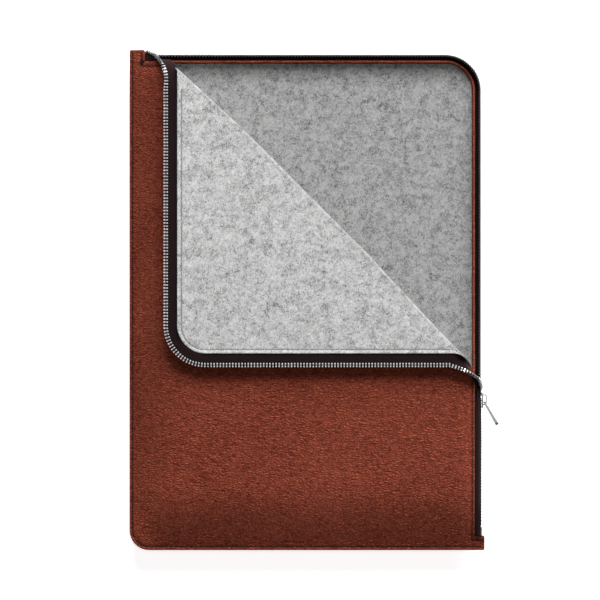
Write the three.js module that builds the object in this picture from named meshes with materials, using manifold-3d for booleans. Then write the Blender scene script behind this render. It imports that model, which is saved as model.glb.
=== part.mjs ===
// A leather laptop sleeve lined with felt, lying on its back, with its zip half open and the top right corner
// of the front panel folded down over the front. Millimetres, +X right, +Y up the sleeve, +Z out of the front.
// The origin is the middle of the face that the sleeve rests on.
import * as THREE from "three";
import { mergeVertices } from "three/addons/utils/BufferGeometryUtils.js";
import Module from "manifold-3d";

// Layers
const LEATHER = 1.25;
const FELT = 1.9;
const BOND = 0.25; // between the leather and the felt
const POCKET_DEPTH = 16;
const PANEL = LEATHER + BOND + FELT;
const HALF = POCKET_DEPTH / 2 + PANEL; // from the zip's middle plane to the outside of a panel
const MID = HALF; // height of the zip's middle plane

// Outline of the sleeve, seen from the front
const LEFT = -117.1;
const BOTTOM = -165;
const TOP = 165; // the top edge of the left tab
const TAB_RIGHT = 117.1; // the right edge of the bottom tab
const TOP_TAB_END = -107;
const BOTTOM_TAB_END = -155.4;
const SEAM_RADIUS = 13;

// The zip's line: up the right side, round the corner, along the top
const ZIP_X = 114.2;
const ZIP_Y = 161.5;
const ZIP_RADIUS = 23;
const PANEL_INSET = 3.9; // from the zip's line to the leather's cut edge
const LINING_INSET = 5; // from the zip's line to the back lining's edge
const LINING_LEFT = -106.5;
const LINING_BOTTOM = -152;
const LINING_RADIUS = 12;
const PANEL_RIGHT = ZIP_X - PANEL_INSET;
const PANEL_TOP = ZIP_Y - PANEL_INSET;

// How a panel bulges: it meets the other half at the left and bottom seams and drops a little at the zip
const SEAM_FACE = 0.15; // half the gap between the two leathers at a seam
const SEAM_HEIGHT = SEAM_FACE + LEATHER;
const BULGE = HALF - SEAM_HEIGHT;
const FLANGE_X = 3.5;
const FLANGE_Y = 4;
const SLOPE_X = 30;
const SLOPE_Y = 38;
const ZIP_SLOPE = 12;
const ZIP_DROP = 0.32; // share of the bulge that is lost at the zip

// The crease runs at 45 degrees, from the top left to the bottom right
const CREASE_SUM = 70.3; // x + y on the hinge line
const FOLD_GAP = 1.2; // inside radius of the folded leather
const FOLD_RADIUS = FOLD_GAP + PANEL;
const HINGE_Z = MID + HALF + FOLD_GAP;
const FIXED_SUM = CREASE_SUM - FOLD_RADIUS * Math.SQRT2; // where the fixed panels end
const MOVING_SUM = CREASE_SUM + FOLD_RADIUS * Math.SQRT2; // where the flap starts when it is closed
const FOLD_LEFT_X = -85; // the straight run of the bend, along the fixed panels' end
const FOLD_RIGHT_X = 101;
const FLAP_RIGHT = 105.5;
const FLAP_TOP = 155.5;
const FLAP_RADIUS = 18.5;
const FLAP_MARGINS = [4.6, 10.4]; // from the crease to the flap's zip and thread, at its right and left ends

// Zip
const TAPE = 0.6;
const ROW_HEIGHT = 2.1; // one row of teeth, across the tape
const ROW_FACE = 0.15; // half the gap between the two closed rows
const ROW_PARTING = 0.45; // how far each row is pushed aside where the zip is open
const ROW_THICK = 1.9;
const TAPE_EDGE = 3.25; // from the middle plane to the tape's edge at the teeth
const FRONT_FOOT = -3.3; // from the zip's line to the tape's foot
const BACK_FOOT = -2.6;
const RIM = [-4.7, -3.2]; // from the zip's line to the rim's two faces
const RIM_HEIGHT = 3.4;
const FLAP_TAPE_Z = 19.3;
const FLAP_TAPE_WIDTH = 5.6;
const FLAP_ROW = [5.9, 8.9]; // from the flap's edge to the two sides of its row of teeth
const ZIP_FOOT_Y = -155.1;
const STOP_TOP = -149.8;
const STOP_HALF = 2.6;
const ZIP_LEFT_X = -106.7;
const TOP_STOP_LENGTH = 1.9;

// Slider and pull tab
const SLIDER_TOP = -61.3;
const SLIDER_LENGTH = 9.9;
const SLIDER_WIDTH = 6.4;
const CHANNEL = 2.4; // between the slider's two plates
const PLATE = 0.7;
const DIVIDER = [1.5, 0.6]; // along and across the zip
const BRIDGE = [7.2, 2.2]; // along the zip, and across it
const BRIDGE_OPENING = 1.8;
const BRIDGE_BAR = 0.7;
const PULL_PIVOT_X = ZIP_X + CHANNEL / 2 + PLATE + BRIDGE_OPENING / 2;
const PULL_PIVOT_Y = -67.4;
const PULL_LENGTH = 17.4;
const PULL_WIDTH = 7;
const PULL_THICK = 1.2;
const PULL_EYE = [0.5, 6.4, 3]; // from the pivot to the eye's two ends, and its width
const PULL_ANGLE = THREE.MathUtils.degToRad(30); // at rest, out from the sleeve's edge

// Thread
const SEAM_LINE_X = -115.1;
const SEAM_LINE_Y = -162.6;
const ZIP_STITCH = 5.5; // from the zip's line to the stitches along it
const TAB_STITCH_X = -109.1;
const TAB_STITCH_Y = -158.4;
const FLAP_STITCH = 1.9; // from the flap's edge
const THREAD_END = 7; // from the fixed panels' end
const THREAD_WIDTH = 0.7;
const THREAD_RISE = 0.4;
const THREAD_LIFT = 0.2;
const GAP = 0.3; // between pieces that touch

const wasm = await Module();
wasm.setup();

const leather = new THREE.MeshStandardMaterial({ color: 0x7c3e30, roughness: 0.6 });
const rimLeather = new THREE.MeshStandardMaterial({ color: 0x9a5842, roughness: 0.65 });
const felt = new THREE.MeshStandardMaterial({ color: 0xbdbdbd, roughness: 1 });
const tape = new THREE.MeshStandardMaterial({ color: 0x3a2629, roughness: 0.95 });
const nickel = new THREE.MeshStandardMaterial({ color: 0xc9c9cc, roughness: 0.25, metalness: 1 });
const thread = new THREE.MeshStandardMaterial({ color: 0x4a1c14, roughness: 0.8 });

// ---------- solids ----------

function solidOf(geometry) {
  const bare = geometry.clone();
  bare.deleteAttribute("normal");
  bare.deleteAttribute("uv");
  const merged = mergeVertices(bare, 1e-4);
  const vertProperties = new Float32Array(merged.attributes.position.array);
  const triVerts = new Uint32Array(merged.index.array);
  return new wasm.Manifold(new wasm.Mesh({ numProp: 3, vertProperties, triVerts }));
}

function geometryOf(solid) {
  const mesh = solid.getMesh();
  const geometry = new THREE.BufferGeometry();
  geometry.setAttribute("position", new THREE.BufferAttribute(mesh.vertProperties, 3));
  geometry.setIndex(new THREE.BufferAttribute(mesh.triVerts, 1));
  geometry.computeVertexNormals();
  return geometry;
}

const common = (...all) => geometryOf(all.map(solidOf).reduce((a, b) => a.intersect(b)));
const joined = (...all) => geometryOf(all.map(solidOf).reduce((a, b) => a.add(b)));

function box([x0, x1], [y0, y1], [z0, z1]) {
  const made = new THREE.BoxGeometry(x1 - x0, y1 - y0, z1 - z0);
  return made.translate((x0 + x1) / 2, (y0 + y1) / 2, (z0 + z1) / 2);
}

function prism(shape, low, high) {
  const made = new THREE.ExtrudeGeometry(shape, { depth: high - low, bevelEnabled: false, curveSegments: 6 });
  return made.translate(0, 0, low);
}

const throughPanels = (shape) => prism(shape, -1, 2 * MID + 1);

// Points and triangles as a geometry whose faces point outwards.
function outward(points, index) {
  let volume = 0;
  for (let k = 0; k < index.length; k += 3) {
    const [a, b, c] = [points[index[k]], points[index[k + 1]], points[index[k + 2]]];
    volume += a.dot(b.clone().cross(c));
  }
  if (volume < 0) index.reverse();
  const geometry = new THREE.BufferGeometry().setFromPoints(points);
  geometry.setIndex(index);
  geometry.computeVertexNormals();
  return geometry;
}

// A solid through rings of points. A ring is a convex loop, or with `band` a bent band whose first half is one
// face and whose second half, run backwards, is the other.
function loft(rings, band = false) {
  const size = rings[0].length;
  const index = [];
  const quad = (a, b, c, d) => index.push(a, b, c, a, c, d);
  for (let r = 0; r + 1 < rings.length; r++) {
    for (let i = 0; i < size; i++) {
      const j = (i + 1) % size;
      quad(r * size + i, r * size + j, (r + 1) * size + j, (r + 1) * size + i);
    }
  }
  const last = (rings.length - 1) * size;
  if (band) {
    for (let k = 0; k + 1 < size / 2; k++) {
      const cap = [k + 1, k, size - 1 - k, size - 2 - k];
      quad(...cap);
      quad(...cap.map((v) => v + last).reverse());
    }
  } else {
    for (let i = 1; i + 1 < size; i++) {
      index.push(0, i + 1, i, last, last + i, last + i + 1);
    }
  }
  return outward(rings.flat(), index);
}

// ---------- panels ----------

const STATIONS_X = [LEFT, LEFT + FLANGE_X, -109.5, -105, -99.5, -92, LEFT + FLANGE_X + SLOPE_X]
  .concat([PANEL_RIGHT - ZIP_SLOPE, 102.3, 105.3, 107.8, PANEL_RIGHT, TAB_RIGHT]);
const STATIONS_Y = [BOTTOM, BOTTOM + FLANGE_Y, -156, -150, -143, -134, BOTTOM + FLANGE_Y + SLOPE_Y]
  .concat([PANEL_TOP - ZIP_SLOPE, 149.6, 152.6, 155.1, PANEL_TOP, TOP]);

const seamRise = (distance, length) =>
  Math.sin((Math.PI / 2) * THREE.MathUtils.clamp(distance / length, 0, 1));

function zipFall(distance) {
  const part = 1 - THREE.MathUtils.clamp(distance / ZIP_SLOPE, 0, 1);
  return 1 - ZIP_DROP * part * part;
}

// How far the outside of a panel stands from the zip's middle plane.
function bulge(x, y) {
  const seams = seamRise(x - LEFT - FLANGE_X, SLOPE_X) * seamRise(y - BOTTOM - FLANGE_Y, SLOPE_Y);
  return SEAM_HEIGHT + BULGE * seams * zipFall(PANEL_RIGHT - x) * zipFall(PANEL_TOP - y);
}

// The same as it is meshed, in flat triangles between the stations.
function skin(x, y) {
  const cell = (all, v) => THREE.MathUtils.clamp(all.findLastIndex((s) => s <= v), 0, all.length - 2);
  const [i, j] = [cell(STATIONS_X, x), cell(STATIONS_Y, y)];
  const u = (x - STATIONS_X[i]) / (STATIONS_X[i + 1] - STATIONS_X[i]);
  const v = (y - STATIONS_Y[j]) / (STATIONS_Y[j + 1] - STATIONS_Y[j]);
  const corner = (di, dj) => bulge(STATIONS_X[i + di], STATIONS_Y[j + dj]);
  const near = corner(0, 0);
  const far = corner(1, 1);
  const side = u > v ? corner(1, 0) : corner(0, 1);
  return u > v ? near + (side - near) * u + (far - side) * v : near + (far - side) * u + (side - near) * v;
}

// One layer of a panel, between two depths below its outside. side is 1 at the front and -1 at the back. All
// layers share their triangles in plan, so two of them never cross.
function layer(outer, inner, side) {
  const nx = STATIONS_X.length;
  const ny = STATIONS_Y.length;
  const points = [outer, inner].flatMap((depth) =>
    STATIONS_Y.flatMap((y) =>
      STATIONS_X.map((x) => new THREE.Vector3(x, y, MID + side * (bulge(x, y) - depth)))));
  const under = nx * ny;
  const index = [];
  const quad = (a, b, c, d) => index.push(a, b, c, a, c, d);
  for (let j = 0; j + 1 < ny; j++) {
    for (let i = 0; i + 1 < nx; i++) {
      const [a, b, c, d] = [j * nx + i, j * nx + i + 1, (j + 1) * nx + i + 1, (j + 1) * nx + i];
      quad(a, b, c, d);
      index.push(a + under, c + under, b + under, a + under, d + under, c + under);
    }
  }
  for (let i = 0; i + 1 < nx; i++) {
    const far = (ny - 1) * nx + i;
    quad(i + under, i + 1 + under, i + 1, i);
    quad(far, far + 1, far + 1 + under, far + under);
  }
  for (let j = 0; j + 1 < ny; j++) {
    const near = j * nx;
    const far = near + nx - 1;
    quad(near, near + nx, near + nx + under, near + under);
    quad(far + under, far + nx + under, far + nx, far);
  }
  return outward(points, index);
}

// The outline of a whole leather panel: rounded at the bottom left and top right, with a square tab at each
// end of the zip.
function leatherOutline() {
  const radius = ZIP_RADIUS - PANEL_INSET;
  const shape = new THREE.Shape();
  shape.moveTo(LEFT + SEAM_RADIUS, BOTTOM);
  shape.lineTo(TAB_RIGHT, BOTTOM);
  shape.lineTo(TAB_RIGHT, BOTTOM_TAB_END);
  shape.lineTo(PANEL_RIGHT, BOTTOM_TAB_END);
  shape.lineTo(PANEL_RIGHT, PANEL_TOP - radius);
  shape.absarc(PANEL_RIGHT - radius, PANEL_TOP - radius, radius, 0, Math.PI / 2, false);
  shape.lineTo(TOP_TAB_END, PANEL_TOP);
  shape.lineTo(TOP_TAB_END, TOP);
  shape.lineTo(LEFT, TOP);
  shape.lineTo(LEFT, BOTTOM + SEAM_RADIUS);
  shape.absarc(LEFT + SEAM_RADIUS, BOTTOM + SEAM_RADIUS, SEAM_RADIUS, Math.PI, 1.5 * Math.PI, false);
  return shape;
}

// The outline of a lining, which stops where the two halves come together at the seams.
function liningOutline(inset) {
  const [left, bottom, corner] = [LINING_LEFT, LINING_BOTTOM, LINING_RADIUS];
  const [right, top, radius] = [ZIP_X - inset, ZIP_Y - inset, ZIP_RADIUS - inset];
  const shape = new THREE.Shape();
  shape.moveTo(left + corner, bottom);
  shape.lineTo(right, bottom);
  shape.lineTo(right, top - radius);
  shape.absarc(right - radius, top - radius, radius, 0, Math.PI / 2, false);
  shape.lineTo(left, top);
  shape.lineTo(left, bottom + corner);
  shape.absarc(left + corner, bottom + corner, corner, Math.PI, 1.5 * Math.PI, false);
  return shape;
}

// Everything on the pocket's side of the crease.
function fixedSide() {
  const margin = 9;
  const shape = new THREE.Shape();
  shape.moveTo(LEFT - margin, BOTTOM - margin);
  shape.lineTo(FIXED_SUM - BOTTOM + margin, BOTTOM - margin);
  shape.lineTo(LEFT - margin, FIXED_SUM - LEFT + margin);
  return shape;
}

// The corner that folds, where it lies when the sleeve is closed.
function flapOutline() {
  const shape = new THREE.Shape();
  shape.moveTo(FLAP_RIGHT, MOVING_SUM - FLAP_RIGHT);
  shape.lineTo(FLAP_RIGHT, FLAP_TOP - FLAP_RADIUS);
  shape.absarc(FLAP_RIGHT - FLAP_RADIUS, FLAP_TOP - FLAP_RADIUS, FLAP_RADIUS, 0, Math.PI / 2, false);
  shape.lineTo(MOVING_SUM - FLAP_TOP, FLAP_TOP);
  return shape;
}

// Turns a piece of the closed flap over the crease, to where it lies folded.
function folded(geometry) {
  const axis = new THREE.Vector3(1, -1, 0).normalize();
  const turn = new THREE.Matrix4().makeRotationAxis(axis, Math.PI);
  const half = CREASE_SUM / 2;
  return geometry.translate(-half, -half, -HINGE_Z).applyMatrix4(turn).translate(half, half, HINGE_Z);
}

const wholeLeather = (side) => common(layer(0, LEATHER, side), throughPanels(leatherOutline()));
const wholeLining = (side, inset) =>
  common(layer(LEATHER + BOND, PANEL, side), throughPanels(liningOutline(inset)));
const fixedPart = (geometry) => common(geometry, throughPanels(fixedSide()));
const flapPart = (geometry) => folded(common(geometry, throughPanels(flapOutline())));

// A strip bent half round the end of the fixed panels, between two radii about the fold's centre line.
function bentStrip(inner, outer) {
  const steps = 8;
  const end = Math.PI / 2 - GAP / inner;
  const across = new THREE.Vector3(1, 1, 0).normalize();
  const up = new THREE.Vector3(0, 0, 1);
  const rings = [FOLD_LEFT_X, FOLD_RIGHT_X].map((x) => {
    const centre = new THREE.Vector3(x, FIXED_SUM - x, HINGE_Z);
    const on = (radius, angle) => centre.clone().addScaledVector(across, radius * Math.cos(angle))
      .addScaledVector(up, radius * Math.sin(angle));
    const angles = Array.from({ length: steps + 1 }, (_, k) => THREE.MathUtils.lerp(-end, end, k / steps));
    return [...angles.map((a) => on(outer, a)), ...angles.reverse().map((a) => on(inner, a))];
  });
  return loft(rings, true);
}

// ---------- strips along a line ----------

// Points along a plan path, with normals to the right of the way it runs.
function stations(path, arcSteps = 8) {
  const points = path.getPoints(arcSteps / 2);
  return points.map((p, i) => {
    const before = points[Math.max(i - 1, 0)];
    const after = points[Math.min(i + 1, points.length - 1)];
    const way = after.clone().sub(before).normalize();
    return { x: p.x, y: p.y, nx: way.y, ny: -way.x };
  });
}

const between = (all, from, to) => [from, ...all.filter((v) => v > from && v < to), to];

// The zip's line: up the right side through some heights and, given some x, round the corner and along the top.
function zipLine(heights, across = [], inset = 0) {
  const path = new THREE.Path();
  const [right, top, radius] = [ZIP_X - inset, ZIP_Y - inset, ZIP_RADIUS - inset];
  path.moveTo(right, heights[0]);
  heights.slice(1).forEach((y) => path.lineTo(right, y));
  if (across.length) {
    path.lineTo(right, top - radius);
    path.absarc(right - radius, top - radius, radius, 0, Math.PI / 2, false);
    across.forEach((x) => path.lineTo(x, top));
  }
  return path;
}

const place = (s, out, z) => new THREE.Vector3(s.x + s.nx * out, s.y + s.ny * out, MID + z);

// Sweeps a strip of rectangular section. span(station) gives its two sides, outwards from the line, and its two
// heights from the middle plane.
function strip(along, span) {
  return loft(along.map((s) => {
    const [[out0, out1], [z0, z1]] = span(s);
    return [place(s, out0, z0), place(s, out1, z0), place(s, out1, z1), place(s, out0, z1)];
  }));
}

const panelEdge = (s) => skin(s.x - s.nx * PANEL_INSET, s.y - s.ny * PANEL_INSET);

// The tape from a panel's edge, over the slider's flange, to the edge that carries the teeth.
function tapeWall(along, side, foot) {
  const rings = along.map((s) => {
    const high = panelEdge(s) - LEATHER - TAPE / 2;
    const line = [[foot, high], [-1.7, Math.max(0.92 * high, 4.1)], [-0.5, Math.max(0.66 * high, 3.7)], [0, TAPE_EDGE]]
      .map(([out, z]) => new THREE.Vector2(out, z));
    const beside = (share) => line.map((p, i) => {
      const run = line[Math.min(i + 1, line.length - 1)].clone().sub(line[Math.max(i - 1, 0)]).normalize();
      return place(s, p.x + run.y * share, side * (p.y - run.x * share));
    });
    return [...beside(TAPE / 2), ...beside(-TAPE / 2).reverse()];
  });
  return loft(rings, true);
}

// One row of teeth, as the strip that they fill. It is pushed aside where the zip is open.
function teethRow(along, side) {
  return strip(along, (s) => {
    const open = s.y > SLIDER_TOP - DIVIDER[0] - 1;
    const near = ROW_FACE + (open ? ROW_PARTING : 0);
    return [[-ROW_THICK / 2, ROW_THICK / 2], [side * near, side * (near + ROW_HEIGHT)]];
  });
}

const heightsFrom = (low, high) => between(STATIONS_Y, low, high);
const acrossTo = (x) => between(STATIONS_X, x, ZIP_X - ZIP_RADIUS).reverse().slice(1);

function rimStrip() {
  const line = stations(zipLine(heightsFrom(-149.5, 120), acrossTo(-105)));
  return strip(line, (s) => {
    const low = panelEdge(s) - LEATHER - GAP - 0.05;
    const high = low - Math.min(RIM_HEIGHT, low - 0.4);
    return [RIM, [-low, -high]];
  });
}

// Thread that follows a panel's outside along a plan path, at a height above it or, if negative, below it.
function threadOn(path, side, height) {
  return loft(stations(path, 16).map((s) => {
    const corner = (out, rise) =>
      place(s, out, side * (skin(s.x + s.nx * out, s.y + s.ny * out) + height + rise));
    const half = THREAD_WIDTH / 2;
    return [corner(-half, 0), corner(half, 0), corner(half, THREAD_RISE), corner(-half, THREAD_RISE)];
  }));
}

const surfaceThread = (path, side) => threadOn(path, side, THREAD_LIFT);

function seamPath() {
  const radius = 11;
  const path = new THREE.Path();
  path.moveTo(SEAM_LINE_X, TOP - 2.5);
  path.lineTo(SEAM_LINE_X, SEAM_LINE_Y + radius);
  path.absarc(SEAM_LINE_X + radius, SEAM_LINE_Y + radius, radius, Math.PI, 1.5 * Math.PI, false);
  path.lineTo(TAB_RIGHT - 2, SEAM_LINE_Y);
  return path;
}

function rightStitchPath() {
  const path = new THREE.Path();
  const x = ZIP_X - ZIP_STITCH;
  path.moveTo(x, FIXED_SUM - x - THREAD_END);
  between(STATIONS_Y, TAB_STITCH_Y, FIXED_SUM - x - THREAD_END).reverse().slice(1).forEach((y) => path.lineTo(x, y));
  path.lineTo(TAB_RIGHT - 0.7, TAB_STITCH_Y);
  return path;
}

function topStitchPath() {
  const path = new THREE.Path();
  const y = ZIP_Y - ZIP_STITCH - 1.9;
  path.moveTo(TAB_STITCH_X, TOP - 0.8);
  path.lineTo(TAB_STITCH_X, y);
  between(STATIONS_X, TAB_STITCH_X, FIXED_SUM - y - THREAD_END).slice(1).forEach((x) => path.lineTo(x, y));
  return path;
}

function backStitchPath() {
  const inset = ZIP_STITCH;
  const path = zipLine(heightsFrom(TAB_STITCH_Y, ZIP_Y - ZIP_RADIUS), acrossTo(TAB_STITCH_X), inset);
  path.lineTo(TAB_STITCH_X, TOP - 0.8);
  return path;
}

// The edge of the flap as it lies closed, from the crease's right end to its left end, moved inwards.
function flapEdge(inset) {
  const [right, top, radius] = [FLAP_RIGHT - inset, FLAP_TOP - inset, FLAP_RADIUS - inset];
  const path = new THREE.Path();
  path.moveTo(right, MOVING_SUM - FLAP_RIGHT + FLAP_MARGINS[0]);
  path.lineTo(right, top - radius);
  path.absarc(right - radius, top - radius, radius, 0, Math.PI / 2, false);
  path.lineTo(MOVING_SUM - FLAP_TOP + FLAP_MARGINS[1], top);
  return path;
}

const flapThread = (height) => folded(threadOn(flapEdge(FLAP_STITCH), 1, height));

function flapStrip(out, low, high) {
  return folded(strip(stations(flapEdge(0)), () => [out, [low - MID, high - MID]]));
}

// ---------- where the front half of the zip turns over, at the two ends of the crease ----------

// The middle of the row of teeth from the flap to the closed part, the way the teeth and the tape point at each
// of its points, and how far the tape reaches back from it.
const TURNS = {
  right: {
    line: [[95.4, -42.6, 28.7], [102.9, -46, 28.4], [110, -49.4, 26.2], [114, -53.2, 21.8], [114.9, -57, 16.6],
      [114.3, -60, 14.1], [114.2, -62.9, 13.2]],
    teeth: [[0, -1, 0], [0.25, -0.9, 0.3], [0.5, -0.5, 0.7], [0.95, -0.1, 0.3], [0.8, 0, -0.6], [0.1, 0, -1],
      [0, 0, -1]],
    tape: [[0, -1, 0], [0.25, -0.9, 0.3], [0.5, -0.5, 0.7], [0.95, -0.1, 0.3], [0.8, 0, -0.6], [0.5, 0, -0.87],
      [0.5, 0, -0.87]],
    reach: [7.1, 7.1, 4.8, 3.2, 3.4, 4, 4.4],
  },
  left: {
    line: [[-92.6, 139, 28.7], [-92.6, 146.3, 28.4], [-94.4, 153.8, 26.4], [-97.6, 159.2, 21.2], [-100.9, 161.6, 15.4],
      [-103.7, 161.5, 13.2]],
    teeth: [[-1, 0, 0], [-0.9, 0.25, 0.3], [-0.5, 0.5, 0.7], [-0.1, 0.95, 0.3], [0, 0.8, -0.6], [0, 0, -1]],
    tape: [[-1, 0, 0], [-0.9, 0.25, 0.3], [-0.5, 0.5, 0.7], [-0.1, 0.95, 0.3], [0, 0.8, -0.6], [0, 0.9, -0.44]],
    reach: [7.1, 6.8, 4, 3.1, 3.2, 3.4],
  },
};
const TURN_STEPS = 24;

// A strip along a turn, with its thickness square to the way it points. span(t) gives its two edges.
function turned(line, pointing, thickness, span) {
  const curve = new THREE.CatmullRomCurve3(line.map((p) => new THREE.Vector3(...p)));
  return loft(Array.from({ length: TURN_STEPS + 1 }, (_, k) => {
    const t = k / TURN_STEPS;
    const way = curve.getTangent(t);
    const out = new THREE.Vector3(...[0, 1, 2].map((i) => alongKnots(pointing.map((p) => p[i]), t)));
    out.addScaledVector(way, -out.dot(way)).normalize();
    const half = way.clone().cross(out).setLength(thickness / 2);
    const [near, far] = span(t).map((reach) => curve.getPoint(t).addScaledVector(out, reach));
    return [near.clone().add(half), far.clone().add(half), far.sub(half), near.sub(half)];
  }));
}

// The value at t, from 0 to 1, of numbers spaced evenly along a line.
function alongKnots(values, t) {
  const at = t * (values.length - 1);
  const before = Math.min(Math.floor(at), values.length - 2);
  return THREE.MathUtils.lerp(values[before], values[before + 1], at - before);
}

function turnedTeeth({ line, teeth }) {
  const half = (t) => THREE.MathUtils.lerp(FLAP_ROW[1] - FLAP_ROW[0], ROW_HEIGHT, t) / 2;
  return turned(line, teeth, ROW_THICK, (t) => [-half(t), half(t)]);
}

const turnedTape = ({ line, tape: pointing, reach }) =>
  turned(line, pointing, TAPE, (t) => [-alongKnots(reach, t), -1.5 - 2 * GAP]);

// ---------- slider, pull tab and stops ----------

// A plate in the plane of the zip's side wall: a shape in (y, z) with its thickness along x.
function sidePlate(shape, x0, x1) {
  const basis = new THREE.Matrix4().makeBasis(
    new THREE.Vector3(0, 1, 0), new THREE.Vector3(0, 0, 1), new THREE.Vector3(1, 0, 0));
  return prism(shape, x0, x1).applyMatrix4(basis);
}

// Wide at the mouth that the two open rows enter, narrower at the closed end, with rounded corners.
function sliderShape() {
  const [top, bottom, wide, narrow] = [SLIDER_TOP, SLIDER_TOP - SLIDER_LENGTH, SLIDER_WIDTH / 2, 2.6];
  const shape = new THREE.Shape();
  shape.moveTo(bottom, MID - narrow + 0.8);
  shape.quadraticCurveTo(bottom, MID - narrow, bottom + 0.8, MID - narrow);
  shape.lineTo(top - 3.6, MID - wide);
  shape.lineTo(top - 0.9, MID - wide);
  shape.quadraticCurveTo(top, MID - wide, top, MID - wide + 0.9);
  shape.lineTo(top, MID + wide - 0.9);
  shape.quadraticCurveTo(top, MID + wide, top - 0.9, MID + wide);
  shape.lineTo(top - 3.6, MID + wide);
  shape.lineTo(bottom + 0.8, MID + narrow);
  shape.quadraticCurveTo(bottom, MID + narrow, bottom, MID + narrow - 0.8);
  return shape;
}

// The bridge, as an arch in plan with the slot that the pull tab's bar passes through.
function bridgeShape(foot) {
  const reach = foot + BRIDGE_OPENING + BRIDGE_BAR;
  const [low, high] = [SLIDER_TOP - 0.9 - BRIDGE[0], SLIDER_TOP - 0.9];
  const shape = new THREE.Shape();
  shape.moveTo(foot - 0.2, low);
  shape.lineTo(reach - 1, low);
  shape.quadraticCurveTo(reach, low, reach, low + 1);
  shape.lineTo(reach, high - 1);
  shape.quadraticCurveTo(reach, high, reach - 1, high);
  shape.lineTo(foot - 0.2, high);
  shape.lineTo(foot - 0.2, high - 0.8);
  shape.lineTo(reach - BRIDGE_BAR, high - 0.8);
  shape.lineTo(reach - BRIDGE_BAR, low + 0.8);
  shape.lineTo(foot - 0.2, low + 0.8);
  return shape;
}

function sliderBody() {
  const half = CHANNEL / 2;
  const outer = sidePlate(sliderShape(), ZIP_X + half, ZIP_X + half + PLATE);
  const inner = sidePlate(sliderShape(), ZIP_X - half - PLATE, ZIP_X - half);
  const divider = box(
    [ZIP_X - half - 0.2, ZIP_X + half + 0.2],
    [SLIDER_TOP - 0.1 - DIVIDER[0], SLIDER_TOP - 0.1],
    [MID - DIVIDER[1] / 2, MID + DIVIDER[1] / 2],
  );
  const bridge = prism(bridgeShape(ZIP_X + half + PLATE), MID - BRIDGE[1] / 2, MID + BRIDGE[1] / 2);
  return joined(outer, inner, divider, bridge);
}

// The pull tab in its own frame: it runs along -y from its pivot, with its width along z.
function pullTab() {
  const [half, end, radius] = [PULL_WIDTH / 2, PULL_LENGTH, 2.2];
  const shape = new THREE.Shape();
  shape.moveTo(-PULL_EYE[0], -half);
  shape.lineTo(end - radius, -half);
  shape.quadraticCurveTo(end, -half, end, -half + radius);
  shape.lineTo(end, half - radius);
  shape.quadraticCurveTo(end, half, end - radius, half);
  shape.lineTo(-PULL_EYE[0], half);
  const eye = new THREE.Path();
  eye.moveTo(PULL_EYE[0], -PULL_EYE[2] / 2);
  eye.lineTo(PULL_EYE[0], PULL_EYE[2] / 2);
  eye.lineTo(PULL_EYE[1], PULL_EYE[2] / 2);
  eye.lineTo(PULL_EYE[1], -PULL_EYE[2] / 2);
  shape.holes.push(eye);
  const basis = new THREE.Matrix4().makeBasis(
    new THREE.Vector3(0, -1, 0), new THREE.Vector3(0, 0, 1), new THREE.Vector3(-1, 0, 0));
  return prism(shape, -PULL_THICK / 2, PULL_THICK / 2).applyMatrix4(basis);
}

function topStop(side) {
  const near = ROW_FACE + ROW_PARTING;
  const z = [MID + side * near, MID + side * (near + ROW_HEIGHT)].sort((a, b) => a - b);
  const half = ROW_THICK / 2 + 0.15;
  return box([ZIP_LEFT_X, ZIP_LEFT_X + TOP_STOP_LENGTH], [ZIP_Y - half, ZIP_Y + half], z);
}

function bottomStop() {
  const half = ROW_THICK / 2 + 0.25;
  return box([ZIP_X - half, ZIP_X + half], [ZIP_FOOT_Y, STOP_TOP], [MID - STOP_HALF, MID + STOP_HALF]);
}

// ---------- the sleeve ----------

const sleeve = new THREE.Group();

function add(name, geometry, material, parent = sleeve) {
  const mesh = new THREE.Mesh(geometry, material);
  mesh.name = name;
  parent.add(mesh);
  return mesh;
}

const zipStart = STOP_TOP + GAP;
const partingHeights = [SLIDER_TOP - DIVIDER[0] - 1.4, SLIDER_TOP - DIVIDER[0] - 0.4];
const rowLeftX = ZIP_LEFT_X + TOP_STOP_LENGTH + GAP;

add("back_leather_panel", wholeLeather(-1), leather);
add("back_felt_lining", wholeLining(-1, LINING_INSET), felt);
add("back_leather_rim", rimStrip(), rimLeather);
add("front_leather_panel", fixedPart(wholeLeather(1)), leather);
add("front_felt_lining", fixedPart(wholeLining(1, PANEL_INSET)), felt);

const backTapeLine = stations(zipLine(heightsFrom(ZIP_FOOT_Y, ZIP_Y - ZIP_RADIUS), acrossTo(ZIP_LEFT_X)));
add("zip_tape_back", tapeWall(backTapeLine, -1, BACK_FOOT), tape);
const frontTapeLine = stations(zipLine(heightsFrom(ZIP_FOOT_Y, partingHeights[0])));
add("zip_tape_front", tapeWall(frontTapeLine, 1, FRONT_FOOT), tape);
add("zip_teeth_back", teethRow(stations(zipLine([zipStart, ...partingHeights], [rowLeftX])), -1), nickel);
add("zip_teeth_front", teethRow(stations(zipLine([zipStart, partingHeights[0]])), 1), nickel);
add("zip_bottom_stop", bottomStop(), nickel);
add("zip_top_stop_back", topStop(-1), nickel);
add("zip_top_stop_front", topStop(1), nickel);

for (const [end, edges] of Object.entries(TURNS)) {
  add(`zip_tape_turn_${end}`, turnedTape(edges), tape);
  add(`zip_teeth_turn_${end}`, turnedTeeth(edges), nickel);
}

add("crease_leather", bentStrip(FOLD_GAP, FOLD_GAP + LEATHER), leather);
add("crease_felt", bentStrip(FOLD_GAP + LEATHER + BOND, FOLD_RADIUS), felt);

add("seam_thread_front", surfaceThread(seamPath(), 1), thread);
add("seam_thread_back", surfaceThread(seamPath(), -1), thread);
add("zip_thread_front_right", surfaceThread(rightStitchPath(), 1), thread);
add("zip_thread_front_top", surfaceThread(topStitchPath(), 1), thread);
add("zip_thread_back", surfaceThread(backStitchPath(), -1), thread);

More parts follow.
